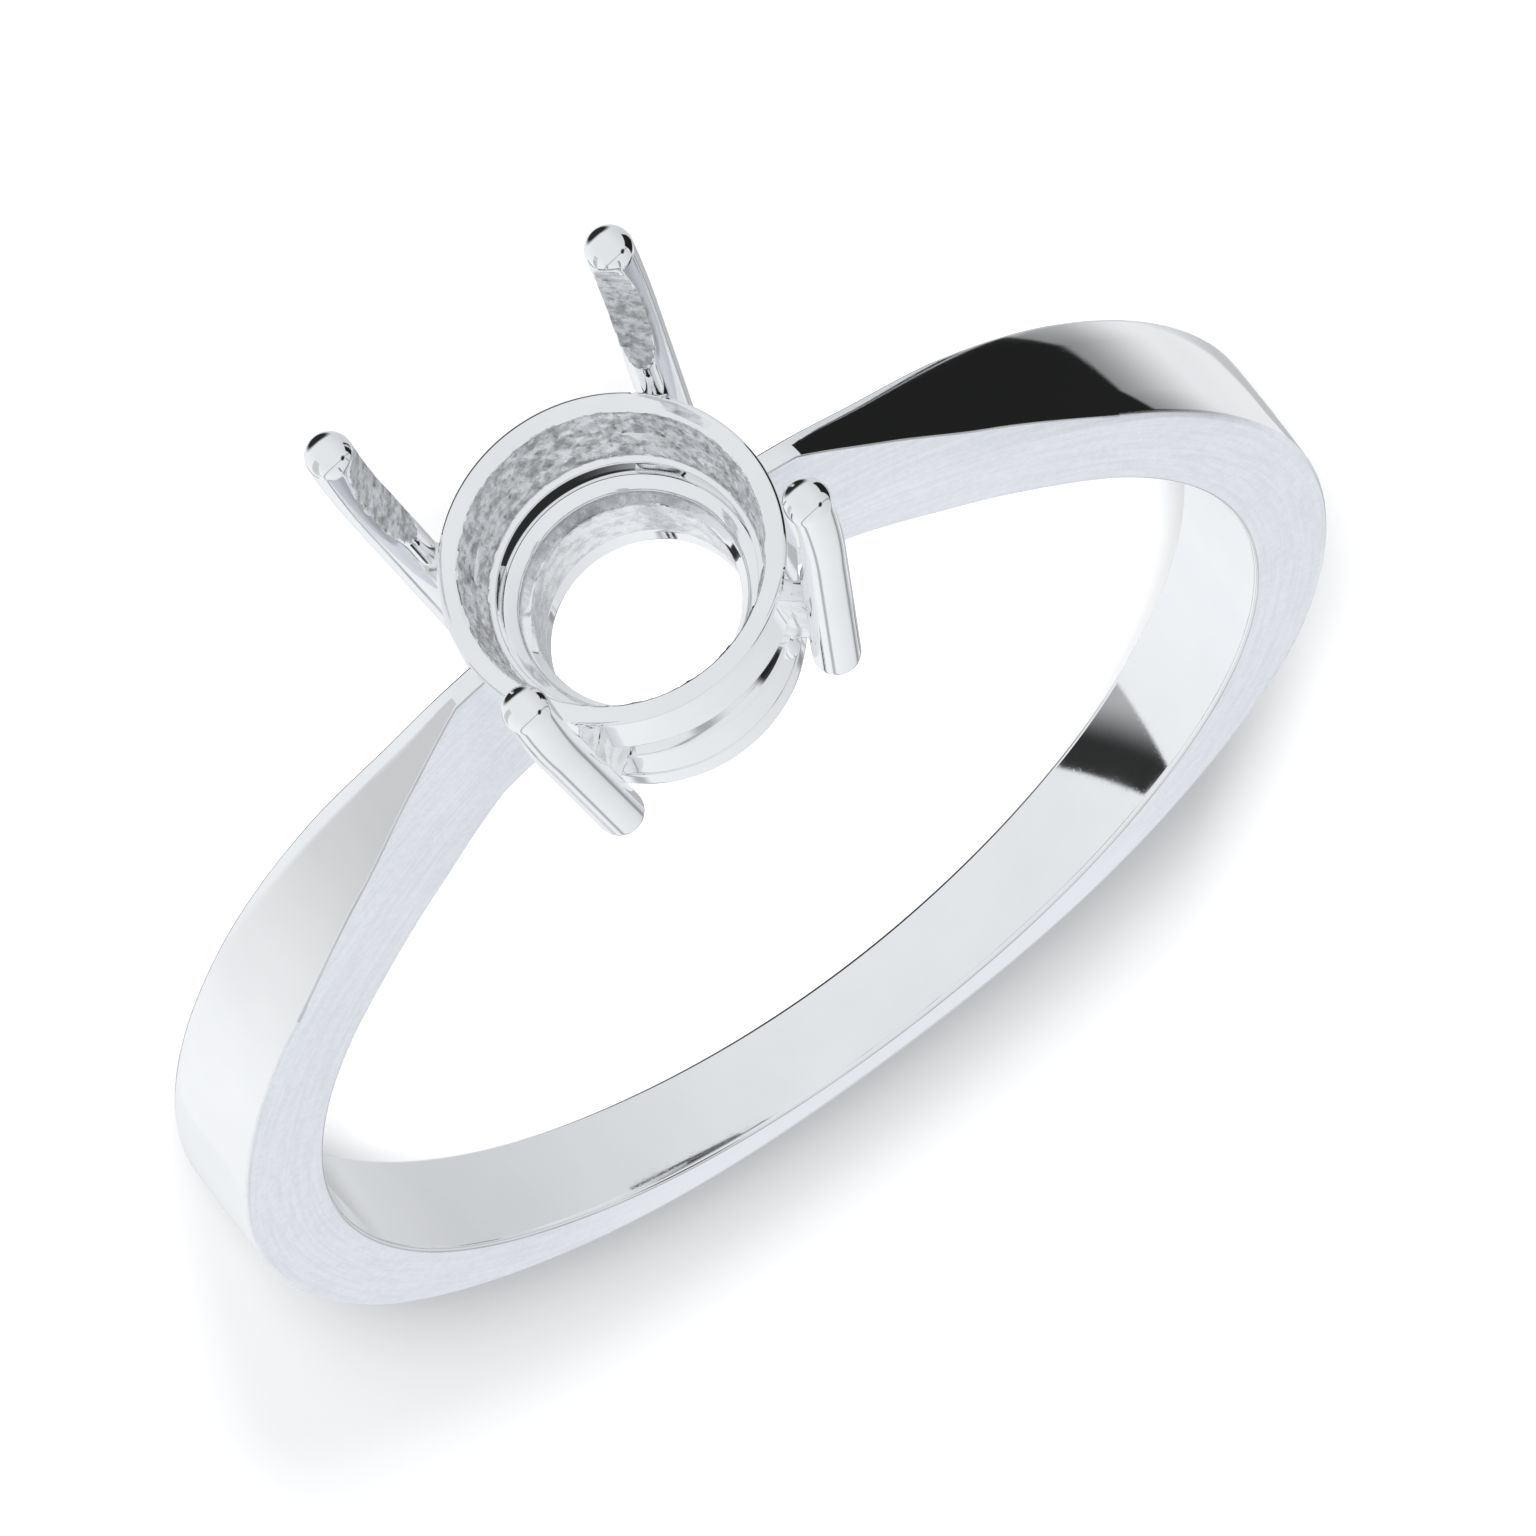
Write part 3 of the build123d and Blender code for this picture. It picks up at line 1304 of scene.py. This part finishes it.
@dataclass(frozen=True)
class Patch:
    """A part of the white tent that is dimmer or brighter than the rest.

    Attributes:
        towards: where its middle is, round the table from +X towards +Y and above the table, in degrees.
        share: how much light it takes away; less than nothing adds light.
        reach: how far it fades out, in degrees.
        core: how far it is at its full strength, in degrees.
        ring: how far from its middle it lies, for a seam that runs in a ring, in degrees.
    """

    towards: Span
    share: float
    reach: float
    core: float = 0.0
    ring: float = 0.0

    def mask(self, graph: Graph, looking: Wire) -> Wire:
        """How much of the patch a direction sees.

        Args:
            graph: the world's nodes.
            looking: the direction.

        Returns:
            The mask, 0 to 1.
        """
        turn, above = (math.radians(angle) for angle in self.towards)
        middle = (math.cos(turn) * math.cos(above), math.sin(turn) * math.cos(above), math.sin(above))
        facing = graph.maths("MINIMUM", graph.vectors("DOT_PRODUCT", looking, middle, "Value"), NEARLY_ONE)
        apart = graph.maths("ARCCOSINE", facing) * math.degrees(1) - self.ring
        return graph.maths("ABSOLUTE", apart).over(self.reach, self.core)


@dataclass(frozen=True)
class Lamp:
    """A soft lamp, far off, which lights the table but isn't mirrored by the metal.

    Attributes:
        name: the lamp's name.
        towards: where it hangs, as a patch's.
        strength: how much light it gives.
        angle: how large it looks, in degrees.
        casts: whether it casts a shadow at all.
    """

    name: str
    towards: Span
    strength: float
    angle: float = 16.0
    casts: bool = True
    colour: Colour = (1.0, 0.998, 0.99)

    def build(self, blockers: bpy.types.Collection) -> None:
        """Hangs the lamp.

        Args:
            blockers: what casts a shadow in its light.
        """
        data = bpy.data.lights.new(self.name, "SUN")
        data.energy, data.angle, data.color = self.strength, math.radians(self.angle), self.colour
        data.use_shadow = self.casts
        lamp = in_scene(self.name, data)
        turn, above = (math.radians(angle) for angle in self.towards)
        lamp.rotation_euler = (math.pi / 2 - above, 0.0, turn + math.pi / 2)
        lamp.visible_glossy = False
        lamp.light_linking.blocker_collection = blockers


@dataclass(frozen=True)
class Snoot:
    """A lamp with a narrow tube, straight above the finger hole, which whitens the table inside the ring.

    Attributes:
        power: how much light it gives, in watts.
        height: how far above the table it hangs, in metres.
        radius: the pool of light on the table, in millimetres, which ends below the shank.
        bulb: the radius of its bulb, in metres.
        soft: how soft the edge of the pool is, as a share.
    """

    power: float = 3.4
    height: float = 0.3
    radius: float = 9.15
    bulb: float = 0.001
    soft: float = 0.1

    def build(self, lit: bpy.types.Collection) -> None:
        """Hangs the lamp.

        Args:
            lit: what it lights, the table alone.
        """
        data = bpy.data.lights.new("snoot", "SPOT")
        data.energy, data.shadow_soft_size, data.use_shadow = self.power, self.bulb, False
        data.spot_size, data.spot_blend = 2 * math.atan(self.radius * MILLIMETRE / self.height), self.soft
        lamp = in_scene("snoot", data)
        lamp.location = (HOLE_CENTRE.x, HOLE_CENTRE.y, self.height)
        lamp.visible_glossy = False
        lamp.light_linking.receiver_collection = lit


@dataclass(frozen=True)
class Viewpoint:
    """The camera, at the photograph's viewing angle.

    Attributes:
        right: where the picture's right side is, seen from the ring.
        down: where its lower side is.
        aim: how far right and down of the finger hole's centre it looks, in metres.
        distance: how far off it stands, in metres.
        frame_width: how much it sees across at the ring, in metres.
        sensor: the width of its sensor, in millimetres.
        clip: the nearest and farthest that it sees, in metres.
    """

    right: tuple[float, float, float] = (0.8026, -0.2368, 0.5475)
    down: tuple[float, float, float] = (-0.5938, -0.4052, 0.6951)
    aim: Span = (0.0002, -0.0008)
    distance: float = 0.6
    frame_width: float = 0.0235
    sensor: float = 36.0
    clip: Span = (0.06, 12.0)

    def build(self) -> None:
        """Sets the camera up."""
        data = bpy.data.cameras.new("camera")
        camera = in_scene("camera", data)
        right, down = Vector(self.right), Vector(self.down)
        back = right.cross(-down).normalized()
        up = back.cross(right).normalized()
        turn = Matrix((right.normalized(), up, back)).transposed().to_4x4()
        aim = HOLE_CENTRE + right * self.aim[0] + down * self.aim[1]
        camera.matrix_world = Matrix.Translation(aim + back * self.distance) @ turn
        data.sensor_width = self.sensor
        data.lens = self.sensor * self.distance / self.frame_width
        data.clip_start, data.clip_end = self.clip
        bpy.context.scene.camera = camera


@dataclass
class Studio:
    """The table, the light and the camera."""

    table_size: float = 6.0
    sky: Colour = (0.955, 0.975, 1.0)
    sky_strength: float = 0.84
    patches: tuple[Patch, ...] = (
        Patch((-25.0, -14.0), 0.22, 105.0),
        Patch((-130.0, -14.0), -0.16, 105.0),
        Patch((0.0, -90.0), 0.97, 39.0, 22.0),
        Patch((-78.0, 50.4), 0.5, 3.5, 0.5, 56.0),
        Patch((-74.0, -18.0), 0.35, 22.0, 6.0),
        Patch((16.0, 50.0), 0.95, 13.0, 7.0),
    )
    lamps: tuple[Lamp, ...] = (
        Lamp("right_lamp", (96.0, 19.0), 6.0),
        Lamp("left_lamp", (77.0, 10.0), 10.5),
        Lamp("fill_lamp", (-90.0, 75.0), 0.35, casts=False),
    )
    cards: tuple[Card, ...] = (
        Card(
            "right_flag", (13.0, 7.2, 1.70), 180.0, (12.9, 8.9), (0.015, 0.015), leans=(0.0, 0.45),
            edge=0.25,
        ),
        Card("right_fade", (13.2, -3.0, 0.9), 180.0, (13.0, 7.5), (0.22, 0.86), (-4.9, 0.2), 0.45),
        Card("right_strip", (12.9, 3.5, -2.75), 180.0, (11.0, 0.3), edge=0.08),
        Card("left_fade", (-12.0, 7.0, 0.8), 0.0, (22.0, 4.8), (0.98, 0.62), (-8.0, 2.5)),
        Card(
            "low_left_flag", (-12.0, -4.65, -6.55), 0.0, (5.2, 8.5), (0.45, 0.03), (-3.4, 0.2), -0.38,
            leans=(0.25, -0.38), edge=0.35,
        ),
    )

    def tent(self) -> None:
        """Hangs the white tent round the table, with its patches."""
        world = bpy.data.worlds.new("tent")
        bpy.context.scene.world = world
        world.use_nodes = True
        graph = Graph(world.node_tree)
        looking = graph.wire("ShaderNodeTexCoord", output="Generated")
        light: Wire | float = self.sky_strength
        for patch in self.patches:
            light = light * (1 - patch.mask(graph, looking) * patch.share)
        background = graph.wire("ShaderNodeBackground", {"Color": (*self.sky, 1.0), "Strength": light})
        graph.node("ShaderNodeOutputWorld", {"Surface": background})

    def build(self, shank: bpy.types.Object) -> None:
        """Sets up everything round the ring; the metal doesn't mirror the table.

        Args:
            shank: the piece whose shadow the low lamps cast.
        """
        table = staged("table", (self.table_size, self.table_size), TableTop().material())
        table.visible_glossy = False
        lit = bpy.data.collections.new("table_only")
        lit.objects.link(table)
        Snoot().build(lit)
        self.tent()
        blockers = bpy.data.collections.new("low_blockers")
        blockers.objects.link(shank)
        for lamp in self.lamps:
            lamp.build(blockers)
        for card in self.cards:
            card.build()
        Viewpoint().build()
        view = bpy.context.scene.view_settings
        view.view_transform, view.look = "Standard", "None"


def main() -> None:
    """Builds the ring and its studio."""
    logging.basicConfig(level=logging.INFO, format="%(name)s %(message)s")
    shank = Shank().build()
    Head().build()
    Studio().build(shank)


if __name__ == "__main__":
    main()
